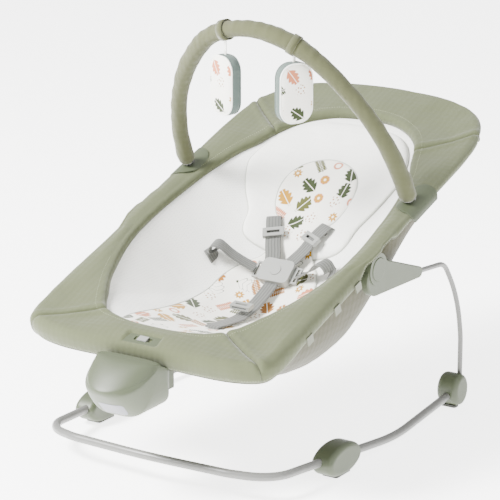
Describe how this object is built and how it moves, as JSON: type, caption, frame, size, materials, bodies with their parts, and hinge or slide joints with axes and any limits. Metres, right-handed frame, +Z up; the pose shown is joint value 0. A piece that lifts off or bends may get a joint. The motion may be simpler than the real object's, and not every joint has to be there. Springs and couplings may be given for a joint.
{
  "type": "baby bouncer seat",
  "caption": "Reclining padded baby seat on sprung rods and a bent tube floor frame, with a harness, an arched toy bar with hanging toys, and a vibration unit under the front.",
  "frame": {"origin": "On the floor, under the middle of the bounding box in X and Y.", "axes": "+X is the baby's left, -Y the foot end, +Y the head end, +Z up."},
  "size_m": [0.4736, 0.8249, 0.648],
  "materials": {
    "tube_paint": "satin light grey",
    "ring_steel": "plain steel",
    "screw_steel": "zinc plated",
    "spring_steel": "plain steel",
    "green_plastic": "fine grained sage green",
    "grey_plastic": "smooth mid grey",
    "pale_plastic": "smooth off-white",
    "light_panel": "light grey",
    "foot_rubber": "dark",
    "rim_fabric": "padded sage green weave",
    "sling_fabric": "plain beige green",
    "mesh_fabric": "fine white mesh",
    "white_fabric": "padded off-white",
    "print_fabric": null,
    "sleeve_fabric": "padded sage green weave",
    "toy_fabric": "printed front, heather side",
    "webbing": "grey woven webbing",
    "board_laminate": "green circuit board",
    "motor_can": "plain steel",
    "weight_steel": "plain steel",
    "battery_case": "plain dark wrapper"
  },
  "bodies": {
    "floor_frame": {"front_floor_tube": "tube_paint", "left_floor_tube": "tube_paint", "right_floor_tube": "tube_paint", "tube_joiners": "ring_steel", "left_front_foot": "green_plastic", "right_front_foot": "green_plastic", "left_rear_foot": "green_plastic", "right_rear_foot": "green_plastic", "foot_pads": "foot_rubber", "foot_screws": "screw_steel"},
    "spring_frame": {"left_spring_rod": "tube_paint", "right_spring_rod": "tube_paint", "left_arm_cover": "green_plastic", "right_arm_cover": "green_plastic", "left_arm_base": "green_plastic", "right_arm_base": "green_plastic", "arm_screws": "screw_steel"},
    "left_release": {"left_hub_button": "green_plastic", "left_lock_gear": "grey_plastic"},
    "right_release": {"right_hub_button": "green_plastic", "right_lock_gear": "grey_plastic"},
    "toy_bar": {"toy_bar_tube": "ring_steel", "toy_bar_sleeve": "sleeve_fabric", "bar_ends": "grey_plastic"},
    "hanging_toy_left": {"left_toy": "toy_fabric"},
    "hanging_toy_right": {"right_toy": "toy_fabric"},
    "panel_button": {"unit_button": "light_panel"},
    "vibration_switch": {"switch_slider": "grey_plastic"},
    "harness_button": {"buckle_button": "grey_plastic"},
    "eccentric": {"motor_weight": "weight_steel"},
    "seat": {"battery": "battery_case", "battery_door": "green_plastic", "buckle_body": "grey_plastic", "buckle_tongues": "grey_plastic", "circuit_board": "board_laminate", "crotch_strap": "webbing", "front_ring_tube": "ring_steel", "head_support": "white_fabric", "hub_retainers": "ring_steel", "left_bar_clip": "green_plastic", "left_lock_spring": "spring_steel", "left_seat_socket": "green_plastic", "rear_ring_tube": "ring_steel", "right_bar_clip": "green_plastic", "right_lock_spring": "spring_steel", "right_seat_socket": "green_plastic", "rim_cover": "rim_fabric", "seat_insert": "print_fabric", "seat_liner": "mesh_fabric", "seat_screws": "screw_steel", "seat_sling": "sling_fabric", "shoulder_straps": "webbing", "snap_tabs": "pale_plastic", "strap_adjusters": "grey_plastic", "switch_bezel": "grey_plastic", "unit_back": "green_plastic", "unit_bracket": "green_plastic", "unit_housing": "green_plastic", "unit_motor": "motor_can", "waist_straps": "webbing"}
  },
  "joints": [
    {"name": "bounce", "type": "hinge", "parent": "floor_frame", "child": "spring_frame", "pos_m": [0, 0.2575, 0.04], "axis": [1, 0, 0], "range_deg": [-4, 3], "stiffness_Nm_per_rad": 400, "springref_deg": -1.32},
    {"name": "recline", "type": "hinge", "parent": "spring_frame", "child": "seat", "pos_m": [0, -0.0075, 0.292], "axis": [1, 0, 0], "range_deg": [-10, 7]},
    {"name": "left_release_press", "type": "slide", "parent": "seat", "child": "left_release", "axis": [-1, 0, 0], "range_m": [0, 0.0028], "stiffness_N_per_m": 600, "deforming": ["left_lock_spring"]},
    {"name": "right_release_press", "type": "slide", "parent": "seat", "child": "right_release", "axis": [1, 0, 0], "range_m": [0, 0.0028], "stiffness_N_per_m": 600, "deforming": ["right_lock_spring"]},
    {"name": "toy_bar_tilt", "type": "hinge", "parent": "seat", "child": "toy_bar", "pos_m": [0, 0.11194, 0.37303], "axis": [1, 0, 0], "range_deg": [-60, 35]},
    {"name": "left_toy_swing", "type": "hinge", "parent": "toy_bar", "child": "hanging_toy_left", "pos_m": [0.072, -0.00724, 0.61738], "axis": [0.868, 0.2177, -0.4463], "range_deg": [-40, 40]},
    {"name": "right_toy_swing", "type": "hinge", "parent": "toy_bar", "child": "hanging_toy_right", "pos_m": [-0.048, -0.01204, 0.62723], "axis": [0.9436, -0.1451, 0.2975], "range_deg": [-40, 40]},
    {"name": "panel_press", "type": "slide", "parent": "seat", "child": "panel_button", "axis": [0, 0.7158, 0.6983], "range_m": [0, 0.002], "stiffness_N_per_m": 500},
    {"name": "switch_slide", "type": "slide", "parent": "seat", "child": "vibration_switch", "axis": [1, 0, 0], "range_m": [-0.006, 0.006]},
    {"name": "harness_button_press", "type": "slide", "parent": "seat", "child": "harness_button", "axis": [0, 0.6401, -0.7683], "range_m": [0, 0.0025], "stiffness_N_per_m": 600},
    {"name": "eccentric_spin", "type": "hinge", "parent": "seat", "child": "eccentric", "pos_m": [0, -0.3695, 0.182], "axis": [1, 0, 0], "continuous": true}
  ]
}
